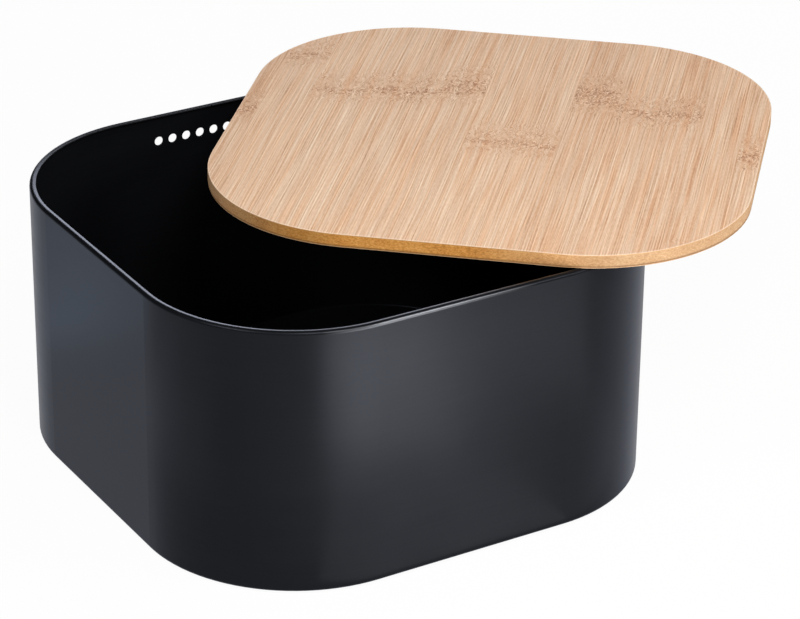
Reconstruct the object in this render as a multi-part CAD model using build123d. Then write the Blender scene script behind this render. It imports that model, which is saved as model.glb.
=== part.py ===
from build123d import *
import math
import os

# Bread box: a square box of coated sheet steel with a loose lid of veneered board.
# Millimetres, +Z up. The origin is the middle of the footprint, on the surface that the box stands on.
# The vents are in the back wall, towards +Y. The lid lies askew on the rim, as when the box is half open.

# Box
box_width = 330.0
box_corner_radius = 100.0
wall_height = 170.0
sheet_thickness = 0.8
bottom_bend_inside_radius = 1.7
bottom_flange_width = 14.0
rim_bend_inside_radius = 1.3
rim_lip_width = 1.5
rim_lip_slope_degrees = 10.0
seam_gap = 0.6

# Vents in the back wall
vent_count = 8
vent_diameter = 6.0
vent_pitch = 10.0
vent_drop = 19.0
vent_row_offset = -2.3

# Base plate and the pads under it
base_clearance = 0.3
pad_diameter = 14.0
pad_thickness = 2.0
pad_edge_round = 0.5
pad_flange_margin = 6.0

# Lid
lid_overhang = 3.0
lid_core_thickness = 7.4
veneer_thickness = 0.6
lid_edge_round = 0.3
lid_seat_gap = 0.3
lid_shift_x_share = 0.377
lid_shift_y_share = 0.0415
lid_turn_degrees = -41.7

# Pegs under the lid
peg_diameter = 8.0
peg_reach = 5.0
peg_socket_depth = 4.0
peg_rim_clearance = 1.0
peg_glue_gap = 0.05
peg_end_chamfer = 0.6

# How far a cutting tool runs past what it cuts
overrun = 5.0

# Sizes that follow from the ones above
rim_bend_radius = rim_bend_inside_radius + sheet_thickness
rim_bend_reach = rim_bend_radius * (1 + math.sin(math.radians(rim_lip_slope_degrees)))
rim_reach = rim_bend_reach + rim_lip_width * math.cos(math.radians(rim_lip_slope_degrees))
bottom_bend_radius = bottom_bend_inside_radius + sheet_thickness
flange_underside = pad_thickness - sheet_thickness
base_underside = flange_underside + sheet_thickness
rim_top = flange_underside + wall_height
back_face = box_width / 2
box_corner_centre = box_width / 2 - box_corner_radius
lid_width = box_width + 2 * lid_overhang
lid_corner_radius = box_corner_radius + lid_overhang
lid_underside = rim_top + lid_seat_gap

# The four corners, as signs along X and Y
corners = {
    "front_left": (-1, -1),
    "front_right": (1, -1),
    "back_left": (-1, 1),
    "back_right": (1, 1),
}


def rounded_plate(width, corner_radius, thickness, underside):
    """A flat plate with a rounded-square outline, lying on the height underside."""
    return Pos(0, 0, underside) * extrude(RectangleRounded(width, width, corner_radius), thickness)


def corner_point(signs, distance):
    """The place at distance from a corner's centre of rounding, outwards along the corner's diagonal."""
    sideways = box_corner_centre + Vector(distance, 0).rotate(Axis.Z, 45).X
    return signs[0] * sideways, signs[1] * sideways


def wall_section():
    """The wall cut across: X runs inwards from the outer face, Y runs up from the flange's underside."""
    rim_centre = (rim_bend_radius, wall_height - rim_bend_radius)
    bend_centre = (bottom_bend_radius, bottom_bend_radius)
    rim_turn = 90 + rim_lip_slope_degrees
    rim_outside = CenterArc(rim_centre, rim_bend_radius, 180, -rim_turn)
    rim_inside = CenterArc(rim_centre, rim_bend_inside_radius, 180, -rim_turn)
    lip_top = PolarLine(rim_outside @ 1, rim_lip_width, -rim_lip_slope_degrees)
    lip_underside = PolarLine(rim_inside @ 1, rim_lip_width, -rim_lip_slope_degrees)
    bend_outside = CenterArc(bend_centre, bottom_bend_radius, 180, 90)
    bend_inside = CenterArc(bend_centre, bottom_bend_inside_radius, 180, 90)
    flange_end = Line((bottom_flange_width, 0), (bottom_flange_width, sheet_thickness))
    outline = [
        Line(bend_outside @ 0, rim_outside @ 0),
        rim_outside,
        lip_top,
        Line(lip_top @ 1, lip_underside @ 1),
        lip_underside,
        rim_inside,
        Line(rim_inside @ 0, bend_inside @ 0),
        bend_inside,
        Line(bend_inside @ 1, flange_end @ 1),
        flange_end,
        Line(flange_end @ 0, bend_outside @ 1),
        bend_outside,
    ]
    return make_face(outline)


def vent_drills():
    """One drill through the back wall for each vent."""
    drill = Rot(90, 0, 0) * Cylinder(vent_diameter / 2, 2 * (sheet_thickness + overrun))
    first_x = vent_row_offset - vent_pitch * (vent_count - 1) / 2
    height = wall_height - vent_drop
    return [Pos(first_x + i * vent_pitch, back_face, height) * drill for i in range(vent_count)]


def seam_cut():
    """The slit where the two ends of the turned-in rim meet. The wall below it is welded, and stays whole."""
    depth = rim_reach + overrun
    slit = Box(seam_gap, 2 * depth, depth, align=(Align.CENTER, Align.CENTER, Align.MIN))
    return Pos(0, back_face, wall_height - rim_bend_radius) * slit


def wall_band():
    """The sheet-steel wall, with its turned-in rim, its bottom flange, the vents and the seam in the rim."""
    outline = RectangleRounded(box_width, box_width, box_corner_radius).wire()
    along = outline % 0
    inwards = Vector(0, 0, 1).cross(along)
    section_plane = Plane(origin=outline @ 0, x_dir=inwards, z_dir=along)
    band = sweep(section_plane * wall_section(), path=outline)
    return Pos(0, 0, flange_underside) * (band - vent_drills() - seam_cut())


def base_plate():
    """The flat steel floor, which lies on the wall's flange."""
    inset = bottom_bend_radius + base_clearance
    return rounded_plate(box_width - 2 * inset, box_corner_radius - inset, sheet_thickness, base_underside)


def foot_pad(signs):
    """A round rubber pad, stuck under the base plate just inside the flange."""
    flange_edge = box_corner_radius - bottom_flange_width
    x, y = corner_point(signs, flange_edge - pad_flange_margin - pad_diameter / 2)
    pad = Cylinder(pad_diameter / 2, pad_thickness, align=(Align.CENTER, Align.CENTER, Align.MIN))
    pad = fillet(pad.faces().sort_by(Axis.Z)[0].edges(), pad_edge_round)
    return Pos(x, y, 0) * pad


def peg_places():
    """Where the pegs stand on the lid: just inside the turned-in rim when the lid is closed."""
    rim_inner_edge = box_corner_radius - rim_reach
    distance = rim_inner_edge - peg_rim_clearance - peg_diameter / 2
    return {name: corner_point(signs, distance) for name, signs in corners.items()}


def peg_sockets():
    """The holes for the pegs, bored up from the lid's underside."""
    radius = peg_diameter / 2 + peg_glue_gap
    tool = Cylinder(radius, peg_socket_depth + overrun, align=(Align.CENTER, Align.CENTER, Align.MIN))
    return [Pos(x, y, -overrun) * tool for x, y in peg_places().values()]


def lid_plate(thickness, underside):
    """One layer of the lid, with the lid's underside at zero height."""
    return rounded_plate(lid_width, lid_corner_radius, thickness, underside)


def lid_bottom_veneer():
    """The lower veneer, with its outer edge eased and the peg holes bored through it."""
    plate = lid_plate(veneer_thickness, 0)
    plate = fillet(plate.faces().sort_by(Axis.Z)[0].edges(), lid_edge_round)
    return plate - peg_sockets()


def lid_core():
    """The fibreboard core, with the blind ends of the peg holes."""
    return lid_plate(lid_core_thickness, veneer_thickness) - peg_sockets()


def lid_top_veneer():
    """The upper veneer, with its outer edge eased."""
    plate = lid_plate(veneer_thickness, veneer_thickness + lid_core_thickness)
    return fillet(plate.faces().sort_by(Axis.Z)[-1].edges(), lid_edge_round)


def lid_peg(place):
    """A dowel that fills its socket and reaches below the lid."""
    length = peg_reach + peg_socket_depth
    peg = Cylinder(peg_diameter / 2, length, align=(Align.CENTER, Align.CENTER, Align.MIN))
    peg = chamfer(peg.faces().sort_by(Axis.Z)[0].edges(), peg_end_chamfer)
    return Pos(place[0], place[1], -peg_reach) * peg


pieces = {"wall_band": wall_band(), "base_plate": base_plate()}
for name, signs in corners.items():
    pieces["pad_" + name] = foot_pad(signs)

# The lid's layers and pegs are made square to the box, then set askew on the rim together
lid_pieces = {
    "lid_bottom_veneer": lid_bottom_veneer(),
    "lid_core": lid_core(),
    "lid_top_veneer": lid_top_veneer(),
}
for name, place in peg_places().items():
    lid_pieces["lid_peg_" + name] = lid_peg(place)
lid_shift = Pos(lid_shift_x_share * box_width, lid_shift_y_share * box_width, lid_underside)
for name, piece in lid_pieces.items():
    pieces[name] = lid_shift * Rot(0, 0, lid_turn_degrees) * piece

os.makedirs("parts", exist_ok=True)
for name, piece in pieces.items():
    export_step(piece, f"parts/{name}.step")
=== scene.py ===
import math
from functools import partial

import bpy
from mathutils import Matrix, Vector


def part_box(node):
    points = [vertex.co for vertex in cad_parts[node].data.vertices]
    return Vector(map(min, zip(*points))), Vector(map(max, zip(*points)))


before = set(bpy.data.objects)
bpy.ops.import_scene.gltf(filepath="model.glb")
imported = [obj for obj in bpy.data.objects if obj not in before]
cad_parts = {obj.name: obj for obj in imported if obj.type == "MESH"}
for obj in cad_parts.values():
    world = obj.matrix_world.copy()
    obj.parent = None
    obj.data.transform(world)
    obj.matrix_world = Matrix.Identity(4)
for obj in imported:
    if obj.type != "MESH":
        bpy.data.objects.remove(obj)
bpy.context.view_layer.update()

# Sizes are real ones, in metres where a name or a comment does not say millimetres.

mm = 0.001

# The box: the height of its rim, and how far from its middle the corners begin.
rim_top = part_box("wall_band")[1].z
box_straight_half = 65 * mm

# A painted highlight on the turned-in rim: a lighter, fully metal grey where its bead shines. Each pair is
# where it begins and where it is full: how far below the rim's top, how far out from a corner's centre of
# rounding, where the wall's outer face is at 100 mm, or how far to the right of the box's middle or behind
# it.
highlight_drop = (2.3 * mm, 1.6 * mm)
inner_highlight = (97.1 * mm, 96.7 * mm)
inner_highlight_wider = (-110 * mm, -150 * mm)
inner_highlight_widening = 0.9 * mm
inner_highlight_fading = (80 * mm, 150 * mm)
outer_highlight = (99.1 * mm, 99.45 * mm)
outer_highlight_left = (-100 * mm, -65 * mm)
outer_highlight_right = (40 * mm, -30 * mm)

# The lid, which lies turned on the rim, so that its grain runs at this angle to the box.
lid_turn = math.radians(-41.7)
lid_low, lid_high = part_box("lid_top_veneer")
lid_centre = (lid_low + lid_high) / 2
lid_top = lid_high.z
lid_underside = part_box("lid_bottom_veneer")[0].z
core_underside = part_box("lid_core")[0].z
lid_width_mm = 336.0
lid_half_mm = lid_width_mm / 2
lid_corner_mm = 103.0
lid_straight_half_mm = lid_half_mm - lid_corner_mm

# The lid's edge. Each pair is where a change of colour begins and where it is full: in from the edge, in from
# the veneer's face, in from a strip's left side, up from the core's underside, or across the lid.
# The lighter line at the arris is partly paler fibre ends and partly a painted highlight.
arris_mm = (1.1, 0.4)
veneer_side = (0.15 * mm, 0.35 * mm)
seam_mm = (0.6, 0.1)
glue_line = (1.4 * mm, 0.1 * mm)
# The core's paler ends are a painted sheen of the edge's grazing reflection.
paler_left_mm = (-95.0, -160.0)
paler_right_mm = (10.0, 100.0)

# Where painted shade darkens the lid's edge, across the lid: start, full, fading and end.
left_shade_mm = (-142.0, -128.0, -84.0, -62.0)
right_shade_mm = (64.0, 78.0, 86.0, 125.0)

# One row for each veneer strip, from one side of the lid to the other: its left edge, where its knuckle
# lies along the grain, the knuckle's rise across the strip and its height, all in mm, then the strip's tone
# from -1, dark, to 1, light. A knuckle at -168 lies past the lid's rounded corner.
veneer_strips = [
    (-168.0, 2.0, 0.0, 8.0, -1.0),
    (-157.0, 98.0, 8.0, 8.0, 0.4),
    (-129.5, 44.0, -3.0, 6.0, 0.45),
    (-101.0, 48.0, 8.0, 9.0, 0.6),
    (-74.0, 51.0, 6.0, 10.0, 0.1),
    (-44.5, 60.0, 8.0, 20.0, 0.25),
    (-17.2, -16.5, 1.0, 5.0, 0.3),
    (11.2, -17.0, -3.0, 5.0, 0.15),
    (40.0, 60.0, -3.0, 24.0, -0.55),
    (68.8, 47.0, -10.0, 7.0, -0.15),
    (97.0, 49.0, 5.0, 8.0, -0.7),
    (125.5, -168.0, 0.0, 5.0, -0.3),
    (153.5, -9.0, 3.0, 12.0, -0.8),
]
strip_width_mm = 28.4

# A knuckle's flecks, and the ruffled fibres round it: start and full past its line, then fading and end past
# its top.
flecked_mm = (-3.5, -0.5, -1.0, 5.0)
ruffled_mm = (-26.0, -6.0, 10.0, 40.0)

# Seeds that set the noise of the strips and of the lid's two faces apart.
strip_seed_step = 91.7
top_seed = 3.0
underside_seed = 57.0

# The veneer's fibre patterns: the width of their cells across the grain and the length along it, in mm.
# Single fibres are too fine to show, so the finest lines here are drawn about half a millimetre wide.
fibre_sizes = {
    "long_lines": (0.55, 75.0),
    "short_lines": (0.6, 6.0),
    "dashes": (0.8, 3.2),
    "fine_grain": (0.6, 4.0),
    "bundles": (1.7, 55.0),
    "bands": (3.0, 160.0),
    "broad_bands": (9.0, 220.0),
    "smudges": (7.0, 16.0),
    "ridge_drift": (5.0, 500.0),
    "ridge_fade": (3.5, 26.0),
    "flush": (2.6, 110.0),
}
ridge_spacing_mm = 1.9
ridge_drift_turn = 18.0

# The view: where the camera looks, from which side and how far off, and its lens.
view_azimuth = math.radians(-31.1763)
view_elevation = math.radians(26.4175)
view_roll = math.radians(0.6159)
view_target = Vector((0.13596, 0.146949, -0.004853))
view_distance = 2.292147
lens_mm = 149.85
sensor_mm = 36.0

# The floor: its half width, and how much of it is plain white to the camera and in reflections. The rest is
# lit paper, which keeps the shadow.
floor_half_width = 6.0
floor_white_seen = 0.96
floor_white_mirrored = 0.63

# Soft boxes that stand well away, all turned to one aim: azimuth, 0 in front and 90 to the right, and
# elevation in degrees, then distance, width, height, and power in watts.
far_aim = Vector((0.06, 0.0, 0.12))
far_boxes = {
    "front_box": (-20, 45, 1.3, 0.36, 0.36, 8.9),
    "key_box": (33, 32, 1.3, 0.36, 0.36, 5.5),
    "left_box": (-75, 40, 1.8, 0.6, 0.6, 12.4),
    "right_box": (90, 38, 1.8, 0.6, 0.6, 9.6),
    "back_box": (152, 18, 1.3, 1.0, 0.4, 2.8),
}

# Weak boxes low in front of the wall: place, aim, width, height, power in watts, and the cone that the
# light keeps to, in degrees.
front_aim = Vector((-0.08, -0.165, 0.12))
right_aim = Vector((0.04, -0.165, 0.15))
low_boxes = {
    "low_front_box": (Vector((0.0, -0.36, 0.16)), front_aim, 0.2, 0.2, 0.05, 110),
    "front_strip": (Vector((-0.036, -0.335, 0.058)), front_aim, 0.2, 0.1, 0.122, 80),
    "right_strip": (Vector((0.14, -0.335, 0.055)), right_aim, 0.16, 0.1, 0.023, 80),
}

# Lit cards on the floor: the middle's x and y, width, depth, power in watts, colour, and turn in degrees.
floor_card_height = 3 * mm
floor_cards = {
    "front_card": (-0.0175, -0.249, 0.175, 0.162, 0.113, "#ffffff", 0),
    "right_card": (0.145, -0.244, 0.15, 0.152, 0.026, "#ffffff", 0),
    "left_card": (-0.307, 0.31, 0.05, 0.25, 0.034, "#bce8ff", 31),
    "corner_card": (-0.38, -0.01, 0.24, 0.22, 0.08, "#eef3ff", 0),
}

# A Mix node's colour sockets come after its number and vector sockets.
MIX_A, MIX_B, MIX_OUT = 6, 7, 2


def linear(code):
    """A colour written as sRGB hex, as linear red, green, blue and alpha."""
    shares = [int(code[i:i + 2], 16) / 255 for i in (1, 3, 5)]
    return tuple(s / 12.92 if s <= 0.04045 else ((s + 0.055) / 1.055) ** 2.4 for s in shares) + (1.0,)


def add(tree, kind, inputs=None, out=0, stops=None, steps=False, **settings):
    """Add a node with its settings, link or set its inputs, fill its colour ramp, and return one output."""
    node = tree.nodes.new("ShaderNode" + kind)
    for name, value in settings.items():
        setattr(node, name, value)
    for socket, value in (inputs or {}).items():
        if isinstance(value, bpy.types.NodeSocket):
            tree.links.new(value, node.inputs[socket])
        else:
            node.inputs[socket].default_value = value
    if stops:
        ramp = node.color_ramp
        while len(ramp.elements) < len(stops):
            ramp.elements.new(1.0)
        for element, (place, colour) in zip(ramp.elements, stops):
            element.position = place
            element.color = colour
        if steps:
            ramp.interpolation = "CONSTANT"
    return node.outputs[out]


def new_material(name):
    """A node material with its principled shader: returns the material, its tree and the shader node."""
    material = bpy.data.materials.new(name)
    material.use_nodes = True
    return material, material.node_tree, material.node_tree.nodes["Principled BSDF"]


def dress(material, *names):
    """Give each named piece of the frame this material."""
    for name in names:
        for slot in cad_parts[name].material_slots:
            slot.material = material


# Materials


def painted_rim_highlight(node, spot):
    """How strongly a painted highlight brightens the turned-in rim, from 0 to 1: along its inner edge, and
    along part of its outer edge. A spot's reach is its distance from the nearest corner's centre of rounding,
    or along a straight side from the line through two of them."""
    place = node("SeparateXYZ", {0: spot})
    sideways, backwards, height = place, place.node.outputs["Y"], place.node.outputs["Z"]
    on_rim = node(
        "MapRange",
        {"Value": height, "From Min": rim_top - highlight_drop[0], "From Max": rim_top - highlight_drop[1]})

    # The 1 m takes the height out of the reach.
    corner_centre = (box_straight_half, box_straight_half, 1.0)
    reach = node("VectorMath", {0: spot}, operation="ABSOLUTE")
    reach = node("VectorMath", {0: reach, 1: corner_centre}, operation="SUBTRACT")
    reach = node("VectorMath", {0: reach, 1: (0.0, 0.0, 0.0)}, operation="MAXIMUM")
    reach = node("VectorMath", {0: reach}, out="Value", operation="LENGTH")

    # The painted highlight on the inner edge is a little wider at the left, and weaker at the back.
    left_widening = node(
        "MapRange",
        {"Value": sideways, "From Min": inner_highlight_wider[0], "From Max": inner_highlight_wider[1],
         "To Max": inner_highlight_widening})
    back_fade = node(
        "MapRange",
        {"Value": backwards, "From Min": inner_highlight_fading[0], "From Max": inner_highlight_fading[1],
         "To Min": 1.0, "To Max": 0.65})
    inner = node("Math", {0: reach, 1: left_widening}, operation="SUBTRACT")
    inner = node("MapRange", {"Value": inner, "From Min": inner_highlight[0], "From Max": inner_highlight[1]})
    inner = node("Math", {0: inner, 1: back_fade}, operation="MULTIPLY")

    # The painted highlight on the outer edge lies only along a stretch left of the middle.
    outer = node(
        "MapRange", {"Value": reach, "From Min": outer_highlight[0], "From Max": outer_highlight[1], "To Max": 0.8})
    left_end = node(
        "MapRange", {"Value": sideways, "From Min": outer_highlight_left[0], "From Max": outer_highlight_left[1]})
    right_end = node(
        "MapRange", {"Value": sideways, "From Min": outer_highlight_right[0], "From Max": outer_highlight_right[1]})
    stretch = node("Math", {0: left_end, 1: right_end}, operation="MULTIPLY")
    outer = node("Math", {0: outer, 1: stretch}, operation="MULTIPLY")

    rim_highlight = node("Math", {0: outer, 1: inner}, operation="MAXIMUM")
    return node("Math", {0: rim_highlight, 1: on_rim}, operation="MULTIPLY")


def powder_coated_steel():
    """Sheet steel in a satin black powder coat with a little metal flake, baked on and wiped along the wall.
    Lamps show as broad soft patches with no sharp edge and faint level streaks, the flake gives the black a
    cool grey sheen, bluer where it is seen at a slant, and the rim's bright highlight is painted on as a
    lighter, fully metal grey."""
    material, tree, shader = new_material("powder_coated_steel")
    node = partial(add, tree)
    spot = node("TexCoord", out="Object")
    streak_length = 45 * mm
    streak_height = 1.1 * mm
    cloud_size = 50 * mm
    peel_size = 1.2 * mm

    wiped = node(
        "Mapping", {"Vector": spot, "Scale": (1 / streak_length, 1 / streak_length, 1 / streak_height)})
    streaks = node("TexNoise", {"Vector": wiped, "Scale": 1.0, "Detail": 2.0, "Roughness": 0.6})
    cloud = node("TexNoise", {"Vector": spot, "Scale": 1 / cloud_size, "Detail": 3.0, "Roughness": 0.5})
    tone = node("Math", {0: streaks, 1: cloud}, operation="ADD")
    tone = node("MapRange", {"Value": tone, "From Min": 0.5, "From Max": 1.5})
    coat = node("Mix", {0: tone, MIX_A: linear("#17181b"), MIX_B: linear("#1c1d20")},
                out=MIX_OUT, data_type="RGBA")
    # A painted highlight along the rim: a lighter grey base colour there, and full metal below.
    rim_highlight = painted_rim_highlight(node, spot)
    colour = node("Mix", {0: rim_highlight, MIX_A: coat, MIX_B: linear("#75767a")}, out=MIX_OUT, data_type="RGBA")

    # Metal flake all over, raised to full metal where the rim's highlight is painted.
    flake_and_rim_highlight = node("MapRange", {"Value": rim_highlight, "To Min": 0.45, "To Max": 1.0})
    rough = node(
        "MapRange", {"Value": streaks, "From Min": 0.3, "From Max": 0.7, "To Min": 0.31, "To Max": 0.34})
    peel = node("TexNoise", {"Vector": spot, "Scale": 1 / peel_size, "Detail": 2.0, "Roughness": 0.55})
    bump = node("Bump", {"Height": peel, "Strength": 0.04, "Distance": 0.05 * mm})
    tree.links.new(colour, shader.inputs["Base Color"])
    tree.links.new(flake_and_rim_highlight, shader.inputs["Metallic"])
    tree.links.new(rough, shader.inputs["Roughness"])
    tree.links.new(bump, shader.inputs["Normal"])
    shader.inputs["Specular IOR Level"].default_value = 0.07
    shader.inputs["Specular Tint"].default_value = linear("#e7edff")
    return material


def lid_place(node, spot):
    """A spot on the lid in the lid's own frame, in mm from its middle, with Y along the grain."""
    return node(
        "Mapping",
        {"Vector": spot, "Location": (lid_centre.x, lid_centre.y, 0), "Rotation": (0, 0, lid_turn),
         "Scale": (mm, mm, mm)},
        vector_type="TEXTURE",
    )


def veneer_strip(node, across, seed):
    """The veneer strip at a place across the lid, looked up in the strip table, which two stepped ramps hold
    as shares of the lid's width. Returns the outputs with its knuckle's place, rise and height, its tone,
    the distance in from its left edge in mm, and a number of its own that sets its noise apart."""
    share = node("MapRange", {"Value": across, "From Min": -lid_half_mm, "From Max": lid_half_mm})
    knuckles = []
    looks = []
    for left, place, rise, height, tone in veneer_strips:
        start = (left + lid_half_mm) / lid_width_mm
        shares = (place / lid_width_mm + 0.5, rise / lid_width_mm + 0.5, height / lid_width_mm, 1)
        knuckles.append((start, shares))
        looks.append((start, (start, tone / 2 + 0.5, 0, 1)))
    knuckle_ramp = node("ValToRGB", {0: share}, stops=knuckles, steps=True)
    look_ramp = node("ValToRGB", {0: share}, stops=looks, steps=True)
    knuckle = node("SeparateColor", {0: knuckle_ramp}).node.outputs
    look = node("SeparateColor", {0: look_ramp}).node.outputs
    inside = node("Math", {0: share, 1: look["Red"]}, operation="SUBTRACT")
    inside_mm = node("Math", {0: inside, 1: lid_width_mm}, operation="MULTIPLY")
    strip_seed = node("Math", {0: look["Red"], 1: strip_seed_step, 2: seed}, operation="MULTIPLY_ADD")
    return knuckle, look["Green"], inside_mm, strip_seed


def knuckle_zones(node, knuckle, inside_mm, strip_seed, across, along):
    """How far a spot lies in its strip's knuckle, from 0 to 1: first in the flecked line itself, then in the
    longer stretch round it where the fibres are ruffled. The line rises across the strip and wavers."""
    waver_size_mm = 4.0
    waver_reach_mm = 5.0
    place = node("MapRange", {"Value": knuckle["Red"], "To Min": -lid_half_mm, "To Max": lid_half_mm})
    rise = node("MapRange", {"Value": knuckle["Green"], "To Min": -lid_half_mm, "To Max": lid_half_mm})
    rise_share = node(
        "MapRange", {"Value": inside_mm, "From Max": strip_width_mm, "To Min": -0.5, "To Max": 0.5})
    line = node("Math", {0: rise, 1: rise_share, 2: place}, operation="MULTIPLY_ADD")
    waver_at = node("CombineXYZ", {"X": across, "Y": strip_seed})
    waver = node(
        "TexNoise", {"Vector": waver_at, "Scale": 1 / waver_size_mm, "Detail": 3.0, "Roughness": 0.7})
    waver = node("MapRange", {"Value": waver, "To Min": -waver_reach_mm, "To Max": waver_reach_mm})
    line = node("Math", {0: line, 1: waver}, operation="ADD")
    past = node("Math", {0: along, 1: line}, operation="SUBTRACT")
    past_top = node("Math", {0: knuckle["Blue"], 1: -lid_width_mm, 2: past}, operation="MULTIPLY_ADD")

    def zone(start, full, fading, end):
        """1 from full past the knuckle line to fading past its top, and 0 before start and after end."""
        rising = node("MapRange", {"Value": past, "From Min": start, "From Max": full},
                      interpolation_type="SMOOTHSTEP")
        falling = node("MapRange", {"Value": past_top, "From Min": end, "From Max": fading},
                       interpolation_type="SMOOTHSTEP")
        return node("Math", {0: rising, 1: falling}, operation="MULTIPLY")

    return zone(*flecked_mm), zone(*ruffled_mm)


def bent_grain(node, across, along, strip_seed, ruffled):
    """A spot's place across the grain in mm, with the bends of the fibres in it: they sway a little along
    the strip, and near a knuckle they are pushed sideways."""
    sway_width_mm = 40.0
    sway_length_mm = 110.0
    sway_reach_mm = 0.4
    push_size_mm = 4.5
    push_reach_mm = 2.0
    at = node("CombineXYZ", {"X": across, "Y": along, "Z": strip_seed})
    sway_at = node("Mapping", {"Vector": at, "Scale": (1 / sway_width_mm, 1 / sway_length_mm, 1.0)})
    sway = node("TexNoise", {"Vector": sway_at, "Scale": 1.0, "Detail": 1.0})
    sway = node("MapRange", {"Value": sway, "From Min": 0.3, "From Max": 0.7,
                             "To Min": -sway_reach_mm, "To Max": sway_reach_mm})
    swayed = node("Math", {0: across, 1: sway}, operation="ADD")
    push = node("TexNoise", {"Vector": at, "Scale": 1 / push_size_mm, "Detail": 2.0, "Roughness": 0.65})
    push = node("MapRange", {"Value": push, "From Min": 0.25, "From Max": 0.75,
                             "To Min": -push_reach_mm, "To Max": push_reach_mm})
    return node("Math", {0: push, 1: ruffled, 2: swayed}, operation="MULTIPLY_ADD")


def fibre_patterns(node, bent, along, strip_seed):
    """The veneer's noise patterns by name, each with cells of its own width and length along the grain."""
    patterns = {}
    for name, (width, length) in fibre_sizes.items():
        wide = node("Math", {0: bent, 1: width}, operation="DIVIDE")
        long = node("Math", {0: along, 1: length}, operation="DIVIDE")
        at = node("CombineXYZ", {"X": wide, "Y": long, "Z": strip_seed})
        patterns[name] = node("TexNoise", {"Vector": at, "Scale": 1.0, "Detail": 1.0, "Roughness": 0.6})
    return patterns


def fibre_ridges(node, fibres, bent):
    """The ridges between bundles of fibre: a sine wave across the grain that drifts sideways and fades."""
    drift = node("Math", {0: fibres["ridge_drift"], 1: ridge_drift_turn}, operation="MULTIPLY")
    turn = node("Math", {0: bent, 1: 2 * math.pi / ridge_spacing_mm, 2: drift}, operation="MULTIPLY_ADD")
    wave = node("Math", {0: turn}, operation="SINE")
    fade = node("MapRange", {"Value": fibres["ridge_fade"], "From Min": 0.32, "From Max": 0.65})
    return node("Math", {0: wave, 1: fade}, operation="MULTIPLY")


def fibre_shade(node, fibres, lines, ridges, tone, flecked, ruffled):
    """One number for a spot of veneer, from the darkest fibre, 0, to the lightest, 1: the fibre lines, then
    each other pattern times its strength."""
    shade = node("Math", {0: lines, 1: 0.96, 2: 0.03}, operation="MULTIPLY_ADD")
    tones = ((fibres["bands"], 0.08), (fibres["broad_bands"], 0.22), (tone, 0.16),
             (fibres["fine_grain"], 0.4))
    for part, strength in tones:
        centred = node("Math", {0: part, 1: 0.5}, operation="SUBTRACT")
        shade = node("Math", {0: centred, 1: strength, 2: shade}, operation="MULTIPLY_ADD")
    dark_lines = node("MapRange", {"Value": fibres["bundles"], "From Min": 0.34, "From Max": 0.2})
    dashes = node("Math", {0: fibres["dashes"], 1: 0.55}, operation="SUBTRACT")
    knuckle_marks = node("Math", {0: dashes, 1: flecked}, operation="MULTIPLY")
    dusk = node("Math", {0: fibres["smudges"], 1: ruffled}, operation="MULTIPLY")
    for part, strength in ((ridges, 0.18), (dark_lines, -0.17), (knuckle_marks, 1.7), (dusk, -0.16)):
        shade = node("Math", {0: part, 1: strength, 2: shade}, operation="MULTIPLY_ADD")
    return shade


def veneer_edges(node, colour, place, spot, face_height, inside_mm):
    """The veneer's colour with its edges in it: a lighter line along the lid's sanded arris, partly its paler
    fibre ends and partly a painted highlight, the brown glue side where the veneer's thickness shows, and a
    hairline of glue where two strips meet."""
    corner_centre = (lid_straight_half_mm, lid_straight_half_mm, 0.0)
    reach = node("VectorMath", {0: place}, operation="ABSOLUTE")
    reach = node("VectorMath", {0: reach, 1: corner_centre}, operation="SUBTRACT")
    reach = node("VectorMath", {0: reach, 1: (0.0, 0.0, 0.0)}, operation="MAXIMUM")
    reach = node("VectorMath", {0: reach, 1: (1.0, 1.0, 0.0)}, operation="MULTIPLY")
    reach = node("VectorMath", {0: reach}, out="Value", operation="LENGTH")
    # Partly paler fibre ends and partly a painted highlight: the veneer is lighter within a millimetre of the
    # arris.
    fibre_ends_and_highlight = node(
        "MapRange",
        {"Value": reach, "From Min": lid_corner_mm - arris_mm[0], "From Max": lid_corner_mm - arris_mm[1],
         "To Max": 0.35})
    colour = node("Mix", {0: fibre_ends_and_highlight, MIX_A: colour, MIX_B: linear("#ffebd2")}, out=MIX_OUT, data_type="RGBA")

    depth = node("SeparateXYZ", {0: spot}, out="Z")
    depth = node("Math", {0: depth, 1: face_height}, operation="SUBTRACT")
    depth = node("Math", {0: depth}, operation="ABSOLUTE")
    side = node(
        "MapRange", {"Value": depth, "From Min": veneer_side[0], "From Max": veneer_side[1], "To Max": 0.8})
    colour = node("Mix", {0: side, MIX_A: colour, MIX_B: linear("#cf9c60")}, out=MIX_OUT, data_type="RGBA")

    seam = node(
        "MapRange", {"Value": inside_mm, "From Min": seam_mm[0], "From Max": seam_mm[1], "To Max": 0.3})
    return node("Mix", {0: seam, MIX_A: colour, MIX_B: linear("#b0845f")}, out=MIX_OUT, data_type="RGBA")


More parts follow.
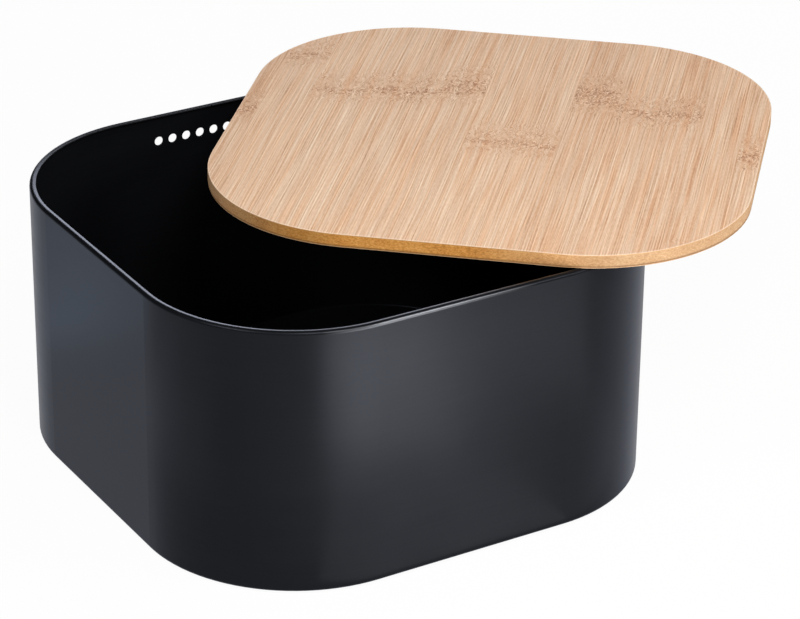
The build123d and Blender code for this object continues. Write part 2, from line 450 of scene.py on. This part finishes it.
def sanded_bamboo_veneer(name, seed, face_height):
    """Flat pressed bamboo veneer, sanded and matt lacquered: pale strips side by side, fine brown and
    light fibre lines along the grain, and on most strips a wavy knuckle where a joint of the cane was cut."""
    material, tree, shader = new_material(name)
    node = partial(add, tree)
    spot = node("TexCoord", out="Object")
    place = lid_place(node, spot)
    across = node("SeparateXYZ", {0: place}, out="X")
    along = across.node.outputs["Y"]
    knuckle, tone, inside_mm, strip_seed = veneer_strip(node, across, seed)
    flecked, ruffled = knuckle_zones(node, knuckle, inside_mm, strip_seed, across, along)
    bent = bent_grain(node, across, along, strip_seed, ruffled)
    fibres = fibre_patterns(node, bent, along, strip_seed)
    ridges = fibre_ridges(node, fibres, bent)

    # The fibre lines run long and straight, and break up short round a knuckle.
    lines = node("Mix", {0: ruffled, 2: fibres["long_lines"], 3: fibres["short_lines"]})
    shade = fibre_shade(node, fibres, lines, ridges, tone, flecked, ruffled)
    colour = node(
        "ValToRGB", {0: shade},
        stops=[(0.0, linear("#a47555")), (0.25, linear("#c99f7d")), (0.5, linear("#dbba9d")),
               (0.75, linear("#eacdb0")), (1.0, linear("#f7e1c9"))],
    )
    # Some bundles of fibre are redder than the rest.
    flush = node("MapRange", {"Value": fibres["flush"], "From Min": 0.35, "From Max": 0.75})
    colour = node("Mix", {0: flush, MIX_A: colour, MIX_B: linear("#fceada")},
                  out=MIX_OUT, data_type="RGBA", blend_type="MULTIPLY")
    colour = veneer_edges(node, colour, place, spot, face_height, inside_mm)

    rough = node(
        "MapRange", {"Value": lines, "From Min": 0.3, "From Max": 0.7, "To Min": 0.62, "To Max": 0.5})
    bump = node("Bump", {"Height": lines, "Strength": 0.2, "Distance": 0.05 * mm})
    tree.links.new(colour, shader.inputs["Base Color"])
    tree.links.new(rough, shader.inputs["Roughness"])
    tree.links.new(bump, shader.inputs["Normal"])
    shader.inputs["Specular IOR Level"].default_value = 0.3
    return material


def pressed_fibreboard():
    """Fibreboard pressed from fine wood fibre, sawn and sanded at the edge: golden brown with a fine speckle
    of lighter and darker fibres, paler towards both ends of the lid in a painted sheen, darker along two
    stretches in painted shade, and with a dark line of glue against the veneer below."""
    material, tree, shader = new_material("pressed_fibreboard")
    node = partial(add, tree)
    spot = node("TexCoord", out="Object")
    height = node("SeparateXYZ", {0: spot}, out="Z")
    across = node("SeparateXYZ", {0: lid_place(node, spot)}, out="X")

    # Flecks of fibre lie flat. They are drawn thicker than real fibres, so that they show.
    fleck_length = 1.6 * mm
    fleck_thickness = 0.9 * mm
    cloud_size = 18 * mm
    flat = node(
        "Mapping", {"Vector": spot, "Scale": (1 / fleck_length, 1 / fleck_length, 1 / fleck_thickness)})
    speckle = node("TexNoise", {"Vector": flat, "Scale": 1.0, "Detail": 3.0, "Roughness": 0.65})
    cloud = node("TexNoise", {"Vector": spot, "Scale": 1 / cloud_size, "Detail": 2.0, "Roughness": 0.5})
    mixed = node("Math", {0: cloud, 1: 0.4, 2: speckle}, operation="MULTIPLY_ADD")
    brown = node(
        "ValToRGB", {0: mixed},
        stops=[(0.45, linear("#b87833")), (0.68, linear("#de994a")), (0.95, linear("#f4ba6b"))],
    )
    pale = node(
        "ValToRGB", {0: mixed},
        stops=[(0.45, linear("#bc946a")), (0.68, linear("#d0a881")), (0.95, linear("#e2c29c"))],
    )
    # A painted sheen: the edge turns paler towards both ends of the lid.
    right_end = node(
        "MapRange",
        {"Value": across, "From Min": paler_right_mm[0], "From Max": paler_right_mm[1], "To Max": 0.85})
    left_end = node(
        "MapRange",
        {"Value": across, "From Min": paler_left_mm[0], "From Max": paler_left_mm[1], "To Max": 0.85})
    painted_sheen = node("Math", {0: right_end, 1: left_end}, operation="MAXIMUM")
    colour = node("Mix", {0: painted_sheen, MIX_A: brown, MIX_B: pale}, out=MIX_OUT, data_type="RGBA")

    def shaded_stretch(start, full, fading, end):
        """1 from full to fading across the lid, and 0 before start and past end, in mm."""
        rising = node("MapRange", {"Value": across, "From Min": start, "From Max": full})
        falling = node("MapRange", {"Value": across, "From Min": end, "From Max": fading})
        return node("Math", {0: rising, 1: falling}, operation="MULTIPLY")

    # Painted shade: the edge is darker along two stretches across the lid.
    painted_shade = node("Math", {0: shaded_stretch(*left_shade_mm), 1: shaded_stretch(*right_shade_mm)}, operation="MAXIMUM")
    colour = node("Mix", {0: painted_shade, MIX_A: colour, MIX_B: linear("#dfdfdd")},
                  out=MIX_OUT, data_type="RGBA", blend_type="MULTIPLY")
    glue_begins = core_underside + glue_line[0]
    glue_full = core_underside + glue_line[1]
    glue = node("MapRange", {"Value": height, "From Min": glue_begins, "From Max": glue_full, "To Max": 0.75})
    colour = node("Mix", {0: glue, MIX_A: colour, MIX_B: linear("#6b4322")}, out=MIX_OUT, data_type="RGBA")
    bump = node("Bump", {"Height": speckle, "Strength": 0.4, "Distance": 0.1 * mm})
    tree.links.new(colour, shader.inputs["Base Color"])
    tree.links.new(bump, shader.inputs["Normal"])
    shader.inputs["Roughness"].default_value = 0.75
    shader.inputs["Specular IOR Level"].default_value = 0.25
    return material


def turned_beech():
    """Beech dowel, turned and sanded: pinkish tan with short brown ray flecks along its length."""
    material, tree, shader = new_material("turned_beech")
    node = partial(add, tree)
    spot = node("TexCoord", out="Object")
    fleck_width = 0.7 * mm
    fleck_length = 5 * mm
    drawn = node("Mapping", {"Vector": spot, "Scale": (1 / fleck_width, 1 / fleck_width, 1 / fleck_length)})
    grain = node("TexNoise", {"Vector": drawn, "Scale": 1.0, "Detail": 2.0, "Roughness": 0.6})
    colour = node(
        "ValToRGB", {0: grain},
        stops=[(0.3, linear("#a87850")), (0.5, linear("#d2a67c")), (0.75, linear("#e2bd95"))],
    )
    bump = node("Bump", {"Height": grain, "Strength": 0.3, "Distance": 0.05 * mm})
    tree.links.new(colour, shader.inputs["Base Color"])
    tree.links.new(bump, shader.inputs["Normal"])
    shader.inputs["Roughness"].default_value = 0.6
    return material


def moulded_rubber():
    """Black rubber foot, moulded: dull, with a faint grey bloom and a fine matt grain."""
    material, tree, shader = new_material("moulded_rubber")
    node = partial(add, tree)
    spot = node("TexCoord", out="Object")
    bloom_size = 4 * mm
    grain_size = 0.4 * mm
    bloom = node("TexNoise", {"Vector": spot, "Scale": 1 / bloom_size, "Detail": 3.0, "Roughness": 0.6})
    grain = node("TexNoise", {"Vector": spot, "Scale": 1 / grain_size, "Detail": 1.0})
    colour = node("Mix", {0: bloom, MIX_A: linear("#1a1a1a"), MIX_B: linear("#2c2c2b")},
                  out=MIX_OUT, data_type="RGBA")
    bump = node("Bump", {"Height": grain, "Strength": 0.4, "Distance": 0.05 * mm})
    tree.links.new(colour, shader.inputs["Base Color"])
    tree.links.new(bump, shader.inputs["Normal"])
    shader.inputs["Roughness"].default_value = 0.85
    return material


# The stage


def white_floor():
    """A wide flat floor, white to the camera and in reflections, that keeps the object's soft shadow."""
    half = floor_half_width
    corners = [(-half, -half, 0), (half, -half, 0), (half, half, 0), (-half, half, 0)]
    mesh = bpy.data.meshes.new("floor")
    mesh.from_pydata(corners, [], [(0, 1, 2, 3)])
    floor = bpy.data.objects.new("floor", mesh)
    bpy.context.scene.collection.objects.link(floor)
    material, tree, shader = new_material("white_paper")
    node = partial(add, tree)
    shader.inputs["Base Color"].default_value = linear("#e8e8e8")
    shader.inputs["Roughness"].default_value = 0.9
    shader.inputs["Specular IOR Level"].default_value = 0.0
    seen = node("LightPath", out="Is Camera Ray")
    rays = seen.node.outputs
    mirrored = node("Math", {0: rays["Is Glossy Ray"], 1: rays["Is Transmission Ray"]}, operation="MAXIMUM")
    mirrored = node("Math", {0: mirrored, 1: floor_white_mirrored}, operation="MULTIPLY")
    seen = node("Math", {0: seen, 1: floor_white_seen}, operation="MULTIPLY")
    white_share = node("Math", {0: seen, 1: mirrored}, operation="MAXIMUM")
    glow = node("Emission", {"Color": (1, 1, 1, 1), "Strength": 1.0})
    blend = node("MixShader", {0: white_share, 1: shader.outputs[0], 2: glow})
    tree.links.new(blend, tree.nodes["Material Output"].inputs["Surface"])
    mesh.materials.append(material)


def direction(turn, rise):
    """The direction with this azimuth, 0 in front and a quarter turn to the right, and this elevation."""
    return Vector((math.sin(turn) * math.cos(rise), -math.cos(turn) * math.cos(rise), math.sin(rise)))


def area_lamp(name, width, height, power):
    """A rectangular lamp that the camera does not see. Returns the stand that places it, and its light."""
    light = bpy.data.lights.new(name, "AREA")
    light.shape = "RECTANGLE"
    light.size = width
    light.size_y = height
    light.energy = power
    stand = bpy.data.objects.new(name, light)
    stand.visible_camera = False
    bpy.context.scene.collection.objects.link(stand)
    return stand, light


def soft_box(name, place, aim, width, height, power, spread=180):
    """A soft box at a place, turned to face its aim, with its light kept within a cone of spread degrees."""
    stand, light = area_lamp(name, width, height, power)
    stand.location = place
    stand.rotation_euler = (place - aim).to_track_quat("Z", "Y").to_euler()
    light.spread = math.radians(spread)


def floor_card(name, x, y, width, depth, power, colour, turn):
    """A lit card that lies on the floor with its middle at x and y and faces up, turned by some degrees."""
    stand, light = area_lamp(name, width, depth, power)
    stand.location = (x, y, floor_card_height)
    stand.rotation_euler = (math.pi, 0, math.radians(turn))
    light.color = linear(colour)[:3]


def studio_light():
    """Plain soft studio light: large boxes above the front, at both sides and behind, weak ones low in front,
    and lit cards on the floor that the front and left walls mirror as a soft sheen, cool at the left."""
    for name, (azimuth, elevation, distance, width, height, power) in far_boxes.items():
        place = far_aim + distance * direction(math.radians(azimuth), math.radians(elevation))
        soft_box(name, place, far_aim, width, height, power)
    for name, settings in low_boxes.items():
        soft_box(name, *settings)
    for name, settings in floor_cards.items():
        floor_card(name, *settings)
    world = bpy.data.worlds.new("studio")
    world.use_nodes = True
    background = world.node_tree.nodes["Background"]
    background.inputs["Color"].default_value = linear("#ffffff")
    background.inputs["Strength"].default_value = 0.0
    bpy.context.scene.world = world


def camera():
    """The camera, turned to look at its target from the given side, then rolled about its own axis."""
    back = direction(view_azimuth, view_elevation)
    right = Vector((math.cos(view_azimuth), math.sin(view_azimuth), 0))
    up = back.cross(right)
    rolled_right = right * math.cos(view_roll) + up * math.sin(view_roll)
    rolled_up = up * math.cos(view_roll) - right * math.sin(view_roll)
    turned = Matrix((rolled_right, rolled_up, back)).transposed().to_4x4()
    data = bpy.data.cameras.new("camera")
    data.sensor_width = sensor_mm
    data.lens = lens_mm
    data.clip_start = view_distance / 100
    data.clip_end = view_distance * 100
    stand = bpy.data.objects.new("camera", data)
    stand.matrix_world = Matrix.Translation(view_target + back * view_distance) @ turned
    bpy.context.scene.collection.objects.link(stand)
    bpy.context.scene.camera = stand


pads = [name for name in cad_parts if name.startswith("pad_")]
pegs = [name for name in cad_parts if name.startswith("lid_peg_")]
dress(powder_coated_steel(), "wall_band", "base_plate")
top_veneer = sanded_bamboo_veneer("sanded_bamboo_veneer_top", top_seed, lid_top)
underside_veneer = sanded_bamboo_veneer("sanded_bamboo_veneer_underside", underside_seed, lid_underside)
dress(top_veneer, "lid_top_veneer")
dress(underside_veneer, "lid_bottom_veneer")
dress(pressed_fibreboard(), "lid_core")
dress(turned_beech(), *pegs)
dress(moulded_rubber(), *pads)
white_floor()
studio_light()
camera()
bpy.context.scene.view_settings.view_transform = "Standard"
